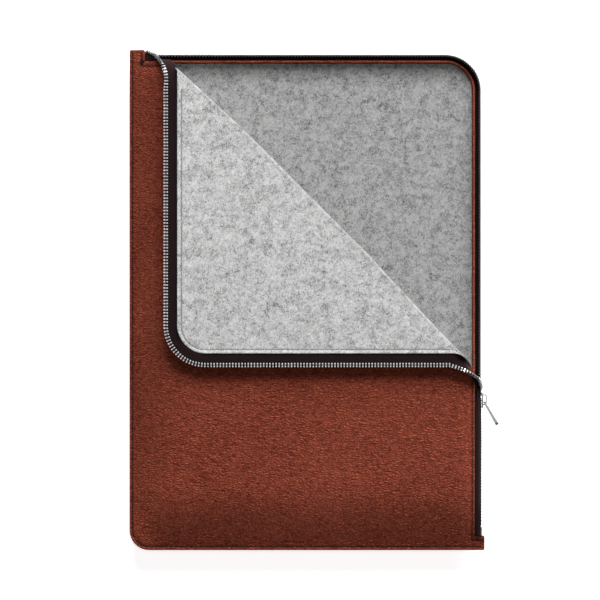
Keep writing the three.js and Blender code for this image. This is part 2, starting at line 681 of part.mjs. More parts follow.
const flap = new THREE.Group();
sleeve.add(flap);
add("flap_leather_panel", flapPart(layer(0, LEATHER, 1)), leather, flap);
add("flap_felt_lining", flapPart(layer(LEATHER + BOND, PANEL, 1)), felt, flap);
add("zip_tape_flap", flapStrip([GAP, FLAP_TAPE_WIDTH], FLAP_TAPE_Z - TAPE / 2, FLAP_TAPE_Z + TAPE / 2), tape, flap);
add("zip_teeth_flap", flapStrip(FLAP_ROW, FLAP_TAPE_Z - 1, FLAP_TAPE_Z + 1), nickel, flap);
add("flap_thread_leather_side", flapThread(THREAD_LIFT), thread, flap);
add("flap_thread_felt_side", flapThread(-PANEL - GAP - THREAD_RISE), thread, flap);

const slider = new THREE.Group();
sleeve.add(slider);
add("slider_body", sliderBody(), nickel, slider);
const pull = add("pull_tab", pullTab(), nickel, slider);
pull.position.set(PULL_PIVOT_X, PULL_PIVOT_Y, MID);
pull.rotation.z = PULL_ANGLE;

export default sleeve;
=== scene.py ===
import math

import bpy
import numpy as np
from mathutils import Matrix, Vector, geometry, noise


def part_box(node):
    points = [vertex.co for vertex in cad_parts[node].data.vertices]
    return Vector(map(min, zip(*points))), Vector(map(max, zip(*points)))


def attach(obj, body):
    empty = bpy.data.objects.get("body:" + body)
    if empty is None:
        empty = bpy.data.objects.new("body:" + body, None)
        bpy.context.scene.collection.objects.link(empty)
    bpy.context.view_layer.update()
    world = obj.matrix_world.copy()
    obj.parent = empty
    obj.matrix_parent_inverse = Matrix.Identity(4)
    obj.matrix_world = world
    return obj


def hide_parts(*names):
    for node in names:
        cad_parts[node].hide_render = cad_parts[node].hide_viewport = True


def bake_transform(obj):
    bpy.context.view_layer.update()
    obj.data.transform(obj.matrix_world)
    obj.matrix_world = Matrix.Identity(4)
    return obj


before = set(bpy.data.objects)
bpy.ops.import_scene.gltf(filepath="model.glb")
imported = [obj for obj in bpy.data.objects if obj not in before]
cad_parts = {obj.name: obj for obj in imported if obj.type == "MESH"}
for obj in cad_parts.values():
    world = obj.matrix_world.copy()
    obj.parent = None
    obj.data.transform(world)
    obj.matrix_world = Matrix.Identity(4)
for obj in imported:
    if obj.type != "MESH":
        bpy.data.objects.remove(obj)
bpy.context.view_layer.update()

# Everything below is worked out in millimetres and scaled when a mesh is made.
MM = 0.001


def limits(node):
    """A node's lowest and highest corners at rest."""
    low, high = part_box(node)
    return np.array(low) / MM, np.array(high) / MM


# ---------- sizes ----------

(LEFT, BOTTOM, _), (TAB_RIGHT, TOP, _) = limits("back_leather_panel")
(LINING_LEFT, LINING_BOTTOM, _), _ = limits("back_felt_lining")
# The zip's middle plane, and how far the outsides of the panels stand from it at most.
MID = limits("front_leather_panel")[1][2] / 2
HALF = MID
# A wall is leather, a line of glue and felt.
LEATHER, BOND, PANEL = 1.25, 0.25, 3.4
# Where the tabs at the zip's ends stop: the top one along x and the bottom one along y.
TOP_TAB_END, BOTTOM_TAB_END = -107.0, -155.4
SEAM_RADIUS = 13.0
# The zip's line in plan, and how far inside it the panels and the back lining end.
ZIP_X, ZIP_Y, ZIP_RADIUS = 114.2, 161.5, 23.0
PANEL_INSET, LINING_INSET = 3.9, 5.0
PANEL_RIGHT, PANEL_TOP = ZIP_X - PANEL_INSET, ZIP_Y - PANEL_INSET
# The panels rise from flat sewn flanges over a long slope, and drop a little towards the zip.
SEAM_GAP = 0.15
SEAM_HEIGHT = SEAM_GAP + LEATHER
FLANGE_X, FLANGE_Y, SLOPE_X, SLOPE_Y = 3.5, 4.0, 30.0, 38.0
ZIP_SLOPE, ZIP_DROP = 12.0, 0.32
# The crease lies along x + y = CREASE_SUM, and the wall turns over it with a gap inside the fold.
CREASE_SUM, FOLD_GAP = 70.3, 1.2
FOLD_RADIUS = FOLD_GAP + PANEL
HINGE_Z = MID + HALF + FOLD_GAP
FIXED_SUM = CREASE_SUM - FOLD_RADIUS * math.sqrt(2)
MOVING_SUM = CREASE_SUM + FOLD_RADIUS * math.sqrt(2)
# The flap where it lies when it is closed, and the ends of its edge that the turned tape takes.
FLAP_RIGHT, FLAP_TOP, FLAP_RADIUS = 105.5, 155.5, 18.5
FLAP_MARGINS = (4.6, 10.4)
FLAP_TAPE_Z = 19.3
# The zip: how far the tape's toothed edge is from the middle plane, how far out from the zip's line the tape
# is glued, and the ends of the rim, the tape and the teeth along that line.
TAPE_EDGE, TAPE_FOOT = 3.25, -4.5
RIM_LOW, RIM_LEFT = -149.5, -105.0
TAPE_LOW, TAPE_LEFT, TAPE_HIGH = -155.1, -106.7, -64.2
TEETH_LOW, TEETH_LEFT, TEETH_HIGH = -149.4, -104.4, -64.3
SLIDER_TOP = -61.3
TOOTH_PITCH = 2.03
STITCH_PITCH = 3.3


def rise(distance, length):
    """A quarter of a sine wave, from 0 at the start to 1 at a length."""
    return np.sin(np.pi / 2 * np.clip(distance / length, 0, 1))


def fall(distance):
    """The share of its height that a panel keeps near the zip."""
    return 1 - ZIP_DROP * (1 - np.clip(distance / ZIP_SLOPE, 0, 1)) ** 2


def bulge(x, y):
    """How far the outside of a panel stands from the zip's middle plane."""
    seams = rise(x - LEFT - FLANGE_X, SLOPE_X) * rise(y - BOTTOM - FLANGE_Y, SLOPE_Y)
    return SEAM_HEIGHT + (HALF - SEAM_HEIGHT) * seams * fall(PANEL_RIGHT - x) * fall(PANEL_TOP - y)


# ---------- plan paths ----------

# The usual steps along an outline, along one cut at the crease, round an arc, along the zip's line, and along
# a stitched path.
OUTLINE_STEP, CUT_STEP, ARC_STEP, ZIP_STEP, PATH_STEP = 2.2, 2.4, 1.6, 1.5, 1.1


def rounded(corners, closed=False, step=OUTLINE_STEP):
    """Points along straight lines through corners (x, y, radius), with the corners rounded."""
    at = [np.array(c[:2], float) for c in corners]
    count = len(at)
    runs = []
    for i, (x, y, radius) in enumerate(corners):
        p = at[i]
        if radius <= 0 or (not closed and i in (0, count - 1)):
            runs.append([p])
            continue
        a, b = at[i - 1] - p, at[(i + 1) % count] - p
        a, b = a / np.linalg.norm(a), b / np.linalg.norm(b)
        half = math.acos(np.clip(a @ b, -1, 1)) / 2
        centre = p + (a + b) / np.linalg.norm(a + b) * radius / math.sin(half)
        first, last = p + a * radius / math.tan(half), p + b * radius / math.tan(half)
        turn = math.pi - 2 * half
        steps = max(3, int(turn * radius / min(step, ARC_STEP)))
        start = first - centre
        sign = 1 if a[0] * b[1] - a[1] * b[0] < 0 else -1
        arc = []
        for k in range(steps + 1):
            w = sign * turn * k / steps
            arc.append(centre + [start[0] * math.cos(w) - start[1] * math.sin(w),
                                 start[0] * math.sin(w) + start[1] * math.cos(w)])
        arc[-1] = last
        runs.append(arc)
    points = []
    for i in range(count if closed else count - 1):
        points += runs[i]
        p, q = runs[i][-1], runs[(i + 1) % count][0]
        n = max(1, int(np.linalg.norm(q - p) / step))
        points += [p + (q - p) * k / n for k in range(1, n)]
    if not closed:
        points += runs[-1]
    return np.array(points)


def outward(path):
    """The unit normals on the right of a plan path."""
    way = np.gradient(path, axis=0)
    way /= np.linalg.norm(way, axis=1)[:, None]
    return np.stack([way[:, 1], -way[:, 0]], 1)


def evenly(path, pitch, phase=0.5):
    """Points at an even pitch along a path of any dimension, as (positions, fractional indices)."""
    lengths = np.r_[0, np.cumsum(np.linalg.norm(np.diff(path, axis=0), axis=1))]
    s = np.arange(phase * pitch, lengths[-1] - 0.3 * pitch, pitch)
    index = np.interp(s, lengths, np.arange(len(path)))
    return at_index(path, index), index


def at_index(values, index):
    """Rows of values at fractional indices."""
    knots = np.arange(len(values))
    return np.stack([np.interp(index, knots, column) for column in values.T], 1)


def cut(outline, total):
    """The part of an outline where x + y is less than a total."""
    kept = []
    for p, q in zip(outline, np.roll(outline, -1, axis=0)):
        a, b = total - p.sum(), total - q.sum()
        if a >= 0:
            kept.append(p)
        if a * b < 0:
            kept.append(p + (q - p) * a / (a - b))
    kept = np.array(kept)
    following = np.roll(kept, -1, axis=0)
    lengths = np.linalg.norm(following - kept, axis=1)
    points = []
    for p, q, length in zip(kept, following, lengths):
        if length > 1e-3:
            n = max(1, int(length / CUT_STEP))
            points += [p + (q - p) * k / n for k in range(n)]
    return np.array(points)


def leather_outline():
    radius = ZIP_RADIUS - PANEL_INSET
    return rounded([
        (LEFT, BOTTOM, SEAM_RADIUS), (TAB_RIGHT, BOTTOM, 1), (TAB_RIGHT, BOTTOM_TAB_END, 1),
        (PANEL_RIGHT, BOTTOM_TAB_END, 0.8), (PANEL_RIGHT, PANEL_TOP, radius), (TOP_TAB_END, PANEL_TOP, 0.8),
        (TOP_TAB_END, TOP, 1), (LEFT, TOP, 1)], closed=True)


def lining_outline(inset):
    return rounded([
        (LINING_LEFT, LINING_BOTTOM, 12), (ZIP_X - inset, LINING_BOTTOM, 1),
        (ZIP_X - inset, ZIP_Y - inset, ZIP_RADIUS - inset), (LINING_LEFT, ZIP_Y - inset, 1)], closed=True)


def flap_outline():
    return rounded([
        (FLAP_RIGHT, MOVING_SUM - FLAP_RIGHT, 0), (FLAP_RIGHT, FLAP_TOP, FLAP_RADIUS),
        (MOVING_SUM - FLAP_TOP, FLAP_TOP, 0)], closed=True)


def flap_edge(inset, step=ZIP_STEP):
    """The flap's free edge moved inwards, without the ends where the tape turns over."""
    return rounded([
        (FLAP_RIGHT - inset, MOVING_SUM - FLAP_RIGHT + FLAP_MARGINS[0], 0),
        (FLAP_RIGHT - inset, FLAP_TOP - inset, FLAP_RADIUS - inset),
        (MOVING_SUM - FLAP_TOP + FLAP_MARGINS[1], FLAP_TOP - inset, 0)], step=step)


def zip_line(low, left):
    """The zip's line from a place on the right, round the corner, to a place on the top."""
    return rounded([(ZIP_X, low, 0), (ZIP_X, ZIP_Y, ZIP_RADIUS), (left, ZIP_Y, 0)], step=ZIP_STEP)


def side_line(low, high):
    """The zip's line between two places on the right."""
    return rounded([(ZIP_X, low, 0), (ZIP_X, high, 0)], step=ZIP_STEP)


# The stitched paths: the sewn seam on the left and bottom, then the zip's stitching on both panels.
SEAM_X, SEAM_Y, SEAM_TURN = -115.1, -162.6, 11
STITCH_X, STITCH_TOP, STITCH_LOW, STITCH_LEFT, STITCH_TURN = 108.7, 154.1, -158.4, -109.1, 1.2
FRONT_RIGHT_END, FRONT_TOP_END = -46.5, -91.5
BACK_STITCH_INSET, FLAP_STITCH_INSET = 5.5, 2.8
SEAM_PATH = rounded([(SEAM_X, TOP - 2, 0), (SEAM_X, SEAM_Y, SEAM_TURN), (TAB_RIGHT - 1.6, SEAM_Y, 0)],
                    step=PATH_STEP)
RIGHT_PATH = rounded([
    (STITCH_X, FRONT_RIGHT_END, 0), (STITCH_X, STITCH_LOW, STITCH_TURN), (TAB_RIGHT - 0.8, STITCH_LOW, 0)],
    step=PATH_STEP)
TOP_PATH = rounded([
    (STITCH_LEFT, TOP - 1, 0), (STITCH_LEFT, STITCH_TOP, STITCH_TURN), (FRONT_TOP_END, STITCH_TOP, 0)],
    step=PATH_STEP)
BACK_PATH = rounded([
    (TAB_RIGHT - 0.8, STITCH_LOW, 0), (STITCH_X, STITCH_LOW, STITCH_TURN),
    (STITCH_X, ZIP_Y - BACK_STITCH_INSET, ZIP_RADIUS - BACK_STITCH_INSET),
    (STITCH_LEFT, ZIP_Y - BACK_STITCH_INSET, STITCH_TURN), (STITCH_LEFT, TOP - 1, 0)], step=PATH_STEP)
FLAP_PATH = flap_edge(FLAP_STITCH_INSET, PATH_STEP)


def folded(points):
    """Where points of the closed flap lie once it is folded over the crease."""
    return np.stack([CREASE_SUM - points[:, 1], CREASE_SUM - points[:, 0], 2 * HINGE_Z - points[:, 2]], 1)


# ---------- meshes ----------

class Shape:
    """Vertices in millimetres, and faces, of closed bodies. dark is a painted shade for each vertex, or None.
    """

    def __init__(self):
        self.points, self.faces, self.count, self.dark = [], [], 0, None

    def add(self, points, faces):
        self.points.append(np.asarray(points, float))
        self.faces += [tuple(i + self.count for i in f) for f in faces]
        self.count += len(points)
        return self

    def loft(self, rings):
        """A closed body through rings of points, with a flat cap at each end."""
        rings = np.asarray(rings)
        n, m = rings.shape[:2]
        faces = [(r * m + i, r * m + (i + 1) % m, (r + 1) * m + (i + 1) % m, (r + 1) * m + i)
                 for r in range(n - 1) for i in range(m)]
        faces += [tuple(reversed(range(m))), tuple(range((n - 1) * m, n * m))]
        return self.add(rings.reshape(-1, 3), faces)

    def copies(self, template, places, ways, acrosses, scale=(1, 1, 1)):
        """A small shape at each place, its x along the way, its y across and its z square to both."""
        points, faces = template
        for p, t, a in zip(places, ways, acrosses):
            t = t / np.linalg.norm(t)
            a = a - t * (a @ t)
            a /= np.linalg.norm(a)
            basis = np.stack([t, a, np.cross(t, a)])
            self.add((points * scale) @ basis + p, faces)
        return self

    def build(self, name, material, slot, fold=False, smooth=38):
        """The Blender object. fold turns a shape made for the closed flap over the crease."""
        points = np.concatenate(self.points)
        if fold:
            points = folded(points)
        mesh = bpy.data.meshes.new(name)
        mesh.from_pydata((points * MM).tolist(), [], self.faces)
        mesh.validate()
        if signed_volume(points, self.faces) < 0:
            mesh.flip_normals()
        mesh.shade_smooth()
        mesh.set_sharp_from_angle(angle=math.radians(smooth))
        mesh.materials.append(material)
        # The painted shade is stored on the mesh as the attribute dark.
        if self.dark is not None:
            shade = mesh.attributes.new("dark", "FLOAT", "POINT")
            shade.data.foreach_set("value", self.dark.astype(np.float32))
        piece = bpy.data.objects.new(name, mesh)
        bpy.context.scene.collection.objects.link(piece)
        return piece


def signed_volume(points, faces):
    fans = np.array([(f[0], f[i], f[i + 1]) for f in faces for i in range(1, len(f) - 1)])
    a, b, c = points[fans[:, 0]], points[fans[:, 1]], points[fans[:, 2]]
    return np.sum(a * np.cross(b, c))


def distance_to(points, path):
    """Each point's distance to a path, and how far along the path its nearest point is."""
    start, step = path[:-1], np.diff(path, axis=0)
    sizes = np.maximum(np.linalg.norm(step, axis=1), 1e-6)
    lengths = np.r_[0, np.cumsum(sizes)]
    near, along = [], []
    for block in np.array_split(points, len(points) // 1000 + 1):
        away = block[:, None] - start
        t = np.clip((away * step).sum(2) / sizes ** 2, 0, 1)
        gaps = np.linalg.norm(away - t[..., None] * step, axis=2)
        i, rows = gaps.argmin(1), np.arange(len(block))
        near.append(gaps[rows, i])
        along.append(lengths[i] + t[rows, i] * sizes[i])
    return np.concatenate(near), np.concatenate(along)


# A panel's rings of points inside its edge, its lines of points beside a stitched path, and how far other
# points keep from both. DEEP is the depth of any point that isn't on a ring.
RING_DEPTHS = (0.1, 0.3, 0.7, 1.5)
PATH_OFFSETS = (-1.3, -0.55, 0, 0.55, 1.3)
CLEAR_OF_PATH, CLEAR_OF_EDGE, PATH_CLEAR_OF_EDGE = 2.2, 2.4, 1.7
DEEP = 9.0


def plan_mesh(outline, paths, cell):
    """Triangles that fill an outline, finer at its edge and along paths: (points, edge depths, triangles)."""
    if signed_area(outline) < 0:
        outline = outline[::-1]
    way = np.roll(outline, -1, axis=0) - np.roll(outline, 1, axis=0)
    inward = np.stack([-way[:, 1], way[:, 0]], 1) / np.linalg.norm(way, axis=1)[:, None]
    closed = np.concatenate([outline, outline[:1]])
    points, depths = [outline], [np.zeros(len(outline))]
    for depth in RING_DEPTHS:
        ring = outline + inward * depth
        ring = ring[distance_to(ring, closed)[0] > depth * 0.97]
        points.append(ring)
        depths.append(np.full(len(ring), depth))
    low, high = outline.min(0), outline.max(0)
    grid = np.stack(np.meshgrid(np.arange(low[0], high[0], cell), np.arange(low[1], high[1], cell)), -1)
    grid[1::2, :, 0] += cell / 2
    grid = grid.reshape(-1, 2)
    for path in paths:
        side = outward(path)
        fine = np.concatenate([path + side * offset for offset in PATH_OFFSETS])
        grid = grid[distance_to(grid, path)[0] > CLEAR_OF_PATH]
        fine = fine[inside(fine, outline)]
        fine = fine[distance_to(fine, closed)[0] > PATH_CLEAR_OF_EDGE]
        points.append(fine)
        depths.append(np.full(len(fine), DEEP))
    grid = grid[inside(grid, outline)]
    grid = grid[distance_to(grid, closed)[0] > CLEAR_OF_EDGE]
    points = np.concatenate(points + [grid])
    depths = np.concatenate(depths + [np.full(len(grid), DEEP)])
    made = geometry.delaunay_2d_cdt([Vector(p) for p in points], [], [list(range(len(outline)))], 1, 1e-4)
    flat = np.array([tuple(v) for v in made[0]])
    depth = np.array([depths[o[0]] if o else DEEP for o in made[3]])
    return flat, depth, [tuple(f) for f in made[2]]


def signed_area(outline):
    """An outline's area, negative where it runs clockwise."""
    x, y = outline[:, 0], outline[:, 1]
    return np.sum(x * np.roll(y, -1) - y * np.roll(x, -1)) / 2


def inside(points, outline):
    """Which points an outline encloses."""
    x, y = points[:, 0], points[:, 1]
    result = np.zeros(len(points), bool)
    for (ax, ay), (bx, by) in zip(outline, np.roll(outline, -1, axis=0)):
        if ay != by:
            result ^= ((ay > y) != (by > y)) & (x < (bx - ax) * (y - ay) / (by - ay) + ax)
    return result


def wave(points, size, height, seed):
    """A smooth unevenness of that size and height."""
    return np.array([noise.noise(Vector((p[0] / size, p[1] / size, seed))) for p in points]) * height


def groove(points, path, depth, width=0.6):
    """A stitched channel: it is deepest at the ends of each stitch."""
    near, along = distance_to(points, path)
    pull = 0.75 + 0.25 * np.cos(2 * np.pi * along / STITCH_PITCH)
    return -depth * np.exp(-((near / width) ** 2)) * pull - 0.35 * depth * np.exp(-((near / 2.4) ** 2))


def panel(outline, side, outer, inner, paths=(), cell=3.2, edge=0.35, crease=None, details=(None, None)):
    """A layer of a wall between two depths below its outside, on the front (side 1) or the back (-1).

    edge is the radius of its rounded edges, except along the crease. details give each face's own relief.
    """
    flat, depth, triangles = plan_mesh(outline, paths, cell)
    base = bulge(flat[:, 0], flat[:, 1])
    share = np.clip(depth / edge, 0, 1)
    drop = edge * (1 - np.sqrt(1 - (1 - share) ** 2))
    if crease is not None:
        drop = np.where(np.abs(flat.sum(1) - crease) < 1.2, 0, drop)
    reliefs = [np.zeros(len(flat)) if d is None else d(flat) for d in details]
    high = base - outer - drop + reliefs[0]
    low = base - inner + drop + reliefs[1]
    points = np.concatenate([np.c_[flat, MID + side * high], np.c_[flat, MID + side * low]])
    n = len(flat)
    sides = dict.fromkeys((a, b) for t in triangles for a, b in zip(t, t[1:] + t[:1]))
    rim = [(a, b) for a, b in sides if (b, a) not in sides]
    faces = triangles + [tuple(i + n for i in reversed(t)) for t in triangles]
    faces += [(b, a, a + n, b + n) for a, b in rim]
    shape = Shape().add(points, faces)
    # Painted shade in the stitched channels, on both faces.
    shape.dark = np.tile(channel_painted_shade(flat, paths), 2)
    return shape


def channel_painted_shade(points, paths):
    """The painted shade of each point in a stitched channel: most at the needle holes."""
    dark = np.zeros(len(points))
    for path in paths:
        near, along = distance_to(points, path)
        holes = 0.62 + 0.38 * np.cos(2 * np.pi * along / STITCH_PITCH)
        dark = np.maximum(dark, np.exp(-((near / 0.75) ** 2)) * holes)
    return dark


def ellipsoid(length, width, height, rings=7, around=8):
    """A rounded grain, such as one stitch seen on a surface."""
    points, faces = [(-length / 2, 0, 0)], []
    for r in range(1, rings):
        t = math.pi * r / rings
        radius = math.sin(t) ** 0.45
        for k in range(around):
            w = 2 * math.pi * k / around
            points.append((-length / 2 * math.cos(t), width / 2 * radius * math.cos(w),
                           height / 2 * radius * math.sin(w)))
    points.append((length / 2, 0, 0))
    last = len(points) - 1
    for k in range(around):
        j = (k + 1) % around
        faces.append((0, 1 + j, 1 + k))
        for r in range(rings - 2):
            a, b = 1 + r * around, 1 + (r + 1) * around
            faces.append((a + k, a + j, b + j, b + k))
        base = 1 + (rings - 2) * around
        faces.append((base + k, base + j, last))
    return np.array(points), faces


def tooth():
    """One zip tooth: x along the zip, y from its clamp on the tape to its head, z its thickness."""
    section = [(-1.5, 0.7), (-1.35, 0.93), (-0.2, 0.95), (0.2, 0.8), (1.3, 0.8), (1.5, 0.55)]
    ring = np.array([(y, z) for y, z in section] + [(y, -z) for y, z in reversed(section)])
    cuts = ((-0.47, 0.86), (-0.37, 0.97), (0.37, 0.97), (0.47, 0.86))
    rings = [[(x, y * size, z * size) for y, z in ring] for x, size in cuts]
    shape = Shape().loft(rings)
    return shape.points[0], shape.faces


STITCH = ellipsoid(2.75, 0.72, 0.62)
TOOTH = tooth()


def stitches(shape, path, height, side, sink=0.06):
    """Stitches along a plan path on a surface whose height from the middle plane is given."""
    flat, index = evenly(path, STITCH_PITCH)
    ahead = at_index(path, np.clip(index + 0.5, 0, len(path) - 1))
    behind = at_index(path, np.clip(index - 0.5, 0, len(path) - 1))

    def raised(points):
        return np.c_[points, MID + side * (height(points) - sink)]

    ways = raised(ahead) - raised(behind)
    across = np.c_[outward(path)[np.clip(index.round().astype(int), 0, len(path) - 1)], np.zeros(len(flat))]
    return shape.copies(STITCH, raised(flat), ways, across)


def sweep(path, section):
    """Rings of a strip along a plan path: section(i) gives (outwards, height from the middle plane)."""
    side = outward(path)
    return [[(p[0] + s[0] * out, p[1] + s[1] * out, MID + z) for out, z in section(i)]
            for i, (p, s) in enumerate(zip(path, side))]


def thickened(line, thickness):
    """A ring round a bent line in a section, with softened ends."""
    line = np.array(line, float)
    way = np.gradient(line, axis=0)
    way /= np.linalg.norm(way, axis=1)[:, None]
    side = np.stack([way[:, 1], -way[:, 0]], 1) * thickness / 2
    soft = np.ones(len(line))
    soft[[0, -1]] = 0.55
    side = side * soft[:, None]
    return np.concatenate([line + side, (line - side)[::-1]])


def smooth_line(points, steps=5):
    """A Catmull-Rom curve through points of any dimension."""
    p = np.array(points, float)
    p = np.concatenate([[2 * p[0] - p[1]], p, [2 * p[-1] - p[-2]]])
    made = []
    for i in range(1, len(p) - 2):
        for k in range(steps):
            t = k / steps
            made.append(0.5 * (2 * p[i] + (p[i + 1] - p[i - 1]) * t
                               + (2 * p[i - 1] - 5 * p[i] + 4 * p[i + 1] - p[i + 2]) * t * t
                               + (3 * p[i] - p[i - 1] - 3 * p[i + 1] + p[i + 2]) * t ** 3))
    return np.array(made + [p[-2]])


def cord_rings(centres, ways, radius, around=8):
    """Rings of a thin round cord."""
    rings = []
    for c, t in zip(centres, ways):
        t = t / np.linalg.norm(t)
        a = np.cross(t, [0.31, 0.17, 0.93])
        a /= np.linalg.norm(a)
        b = np.cross(t, a)
        rings.append([c + radius * (math.cos(w) * a + math.sin(w) * b)
                      for w in np.arange(around) * 2 * math.pi / around])
    return rings


# ---------- materials ----------

class Nodes:
    """A material's node tree, with nodes added in one call each."""

    def __init__(self, name):
        self.material = bpy.data.materials.new(name)
        self.material.use_nodes = True
        self.tree = self.material.node_tree
        self.shader = self.tree.nodes["Principled BSDF"]
        self.where = self.add("ShaderNodeTexCoord").outputs["Object"]

    def add(self, kind, inputs=(), **settings):
        node = self.tree.nodes.new(kind)
        for key, value in settings.items():
            setattr(node, key, value)
        for key, value in dict(inputs).items():
            self.set(node.inputs[key], value)
        return node

    def set(self, socket, value):
        if isinstance(value, bpy.types.NodeSocket):
            self.tree.links.new(value, socket)
        else:
            socket.default_value = value

    def noise(self, scale, detail=4.0, rough=0.55, where=None, distort=0.0):
        return self.add("ShaderNodeTexNoise", {
            "Vector": where or self.where, "Scale": scale, "Detail": detail, "Roughness": rough,
            "Distortion": distort}).outputs["Fac"]

    def stretched(self, scale):
        return self.add("ShaderNodeMapping", {"Vector": self.where, "Scale": scale}).outputs["Vector"]

    def ramp(self, value, stops):
        node = self.add("ShaderNodeValToRGB", {"Fac": value})
        elements = node.color_ramp.elements
        while len(elements) < len(stops):
            elements.new(0.5)
        for element, (at, colour) in zip(elements, stops):
            element.position = at
            element.color = (*colour, 1)
        return node.outputs["Color"]

    def math(self, operation, a, b=0.0, clamp=False):
        return self.add("ShaderNodeMath", {0: a, 1: b}, operation=operation, use_clamp=clamp).outputs[0]

    def bump(self, height, strength, distance):
        return self.add("ShaderNodeBump", {
            "Height": height, "Strength": strength, "Distance": distance}).outputs["Normal"]

    def add_painted_shade(self, tint, least):
        """The colour, with the painted shade that the mesh gives: in stitched channels, on the fold's bulge
        and on the turned teeth going into the wall.
        """
        dark = self.add("ShaderNodeAttribute", attribute_name="dark").outputs["Fac"]
        share = self.math("SUBTRACT", 1.0, self.math("MULTIPLY", dark, 1 - least))
        return self.add("ShaderNodeVectorMath", {0: tint, "Scale": share}, operation="SCALE").outputs[0]

    def finish(self, **inputs):
        for key, value in inputs.items():
            self.set(self.shader.inputs[key.replace("_", " ")], value)
        return self.material


def mixed(a, b, t):
    """The colour a share t of the way from a to b."""
    return tuple(x + (y - x) * t for x, y in zip(a, b))


def leather(name, colour, light, dark):
    """Pebbled full-grain leather: rounded cells wider than high, fine pores, and slow changes of tone."""
    n = Nodes(name)
    wander = n.add("ShaderNodeTexNoise", {"Vector": n.where, "Scale": 300.0, "Detail": 3.0}).outputs["Color"]
    shift = n.add("ShaderNodeVectorMath", {0: wander, "Scale": 0.0022}, operation="SCALE").outputs[0]
    wide = n.stretched((0.62, 1.12, 0.9))
    bent = n.add("ShaderNodeVectorMath", {0: wide, 1: shift}, operation="ADD").outputs[0]
    cells = n.add("ShaderNodeTexVoronoi", {"Vector": bent, "Scale": 640.0},
                  feature="DISTANCE_TO_EDGE").outputs[0]
    pebbles = n.math("POWER", n.math("MULTIPLY", cells, 2.6, clamp=True), 0.7)
    creases = n.noise(1.0, 2.5, 0.5, where=n.stretched((310.0, 650.0, 460.0)), distort=0.6)
    fine = n.noise(2600.0, 3.0)
    slow = n.noise(24.0, 3.0)
    tone = n.math("ADD", n.math("MULTIPLY", pebbles, 0.3),
                  n.math("ADD", n.math("MULTIPLY", slow, 0.2), n.math("MULTIPLY", creases, 0.6)))
    tint = n.ramp(tone, [(0.36, dark), (0.55, mixed(dark, colour, 0.75)), (0.65, colour), (0.84, light)])
    height = n.math("ADD", pebbles,
                    n.math("ADD", n.math("MULTIPLY", fine, 0.07), n.math("MULTIPLY", creases, 1.2)))
    normal = n.bump(height, 1.0, 0.00044)
    rough = n.math("ADD", n.math("MULTIPLY", pebbles, -0.1),
                   n.math("ADD", n.math("MULTIPLY", creases, 0.14), 0.6))
    # The stitched channels get painted shade, down to a tenth of the colour.
    return n.finish(Base_Color=n.add_painted_shade(tint, 0.1), Normal=normal, Roughness=rough,
                    Specular_IOR_Level=0.1)


# Where the felt's tones lie, from its darkest fibres to its lightest.
FELT_STOPS = (0.41, 0.455, 0.49, 0.53, 0.6)


def felt(name, tones, least):
    """Mottled wool felt: dark and light fibres matted together."""
    n = Nodes(name)
    fibres = n.noise(640.0, 9.0, 0.8, distort=1.4)
    clumps = n.noise(190.0, 5.0, 0.62, distort=0.6)
    hairs = n.noise(1.0, 6.0, 0.7, where=n.stretched((2200.0, 700.0, 1200.0)), distort=0.8)
    blend = n.math("ADD", n.math("MULTIPLY", fibres, 0.58),
                   n.math("ADD", n.math("MULTIPLY", clumps, 0.22), n.math("MULTIPLY", hairs, 0.2)))
    tint = n.ramp(blend, list(zip(FELT_STOPS, [(t, t, t * 0.995) for t in tones])))
    height = n.math("ADD", fibres, n.math("MULTIPLY", hairs, 0.6))
    # Painted shade takes the colour down to the share least: in stitched channels and on the fold's bulge.
    return n.finish(Base_Color=n.add_painted_shade(tint, least), Normal=n.bump(height, 0.8, 0.0005),
                    Roughness=0.97, Specular_IOR_Level=0.12, Sheen_Weight=0.15, Sheen_Roughness=0.6)


def woven(name, colour, light):
    """Close twill tape."""
    n = Nodes(name)
    warp = n.add("ShaderNodeTexWave", {"Vector": n.stretched((1, 1, 1.6)), "Scale": 620.0, "Distortion": 0.6,
                                       "Detail": 1.0}, bands_direction="DIAGONAL").outputs["Fac"]
    weft = n.add("ShaderNodeTexWave", {"Vector": n.stretched((1, -1, 1)), "Scale": 880.0, "Distortion": 0.8,
                                       "Detail": 1.0}, bands_direction="DIAGONAL").outputs["Fac"]
    weave = n.math("MULTIPLY", warp, weft)
    lint = n.noise(700.0, 5.0, 0.7)
    tint = n.ramp(n.math("ADD", n.math("MULTIPLY", weave, 0.6), n.math("MULTIPLY", lint, 0.5)),
                  [(0.15, mixed(colour, (0, 0, 0), 0.35)), (0.45, colour), (0.95, light)])
    return n.finish(Base_Color=tint, Normal=n.bump(weave, 0.6, 0.0002), Roughness=0.92,
                    Specular_IOR_Level=0.12, Sheen_Weight=0.03)


def nickel(name, colour, rough):
    """Tumbled nickel with fine scratches."""
    n = Nodes(name)
    scratches = n.noise(1.0, 3.0, 0.6, where=n.stretched((900.0, 4200.0, 900.0)))
    tarnish = n.noise(330.0, 4.0)
    tint = n.ramp(tarnish, [(0.3, mixed(colour, (0, 0, 0), 0.28)), (0.6, colour)])
    roughness = n.math("ADD", rough, n.math("MULTIPLY", tarnish, 0.2))
    # Painted shade darkens the turned teeth where they go into the wall.
    return n.finish(Base_Color=n.add_painted_shade(tint, 0.12), Metallic=1.0, Roughness=roughness,
                    Normal=n.bump(scratches, 0.15, 0.00005))


def spun(name, colour, light):
    """Twisted waxed thread."""
    n = Nodes(name)
    twist = n.add("ShaderNodeTexWave", {"Vector": n.where, "Scale": 900.0, "Distortion": 0.5},
                  bands_direction="DIAGONAL").outputs["Fac"]
    tint = n.ramp(n.math("ADD", n.math("MULTIPLY", twist, 0.6), n.math("MULTIPLY", n.noise(900.0), 0.4)),
                  [(0.2, mixed(colour, (0, 0, 0), 0.4)), (0.6, colour), (0.95, light)])
    return n.finish(Base_Color=tint, Normal=n.bump(twist, 0.6, 0.0001), Roughness=0.75,
                    Specular_IOR_Level=0.15)


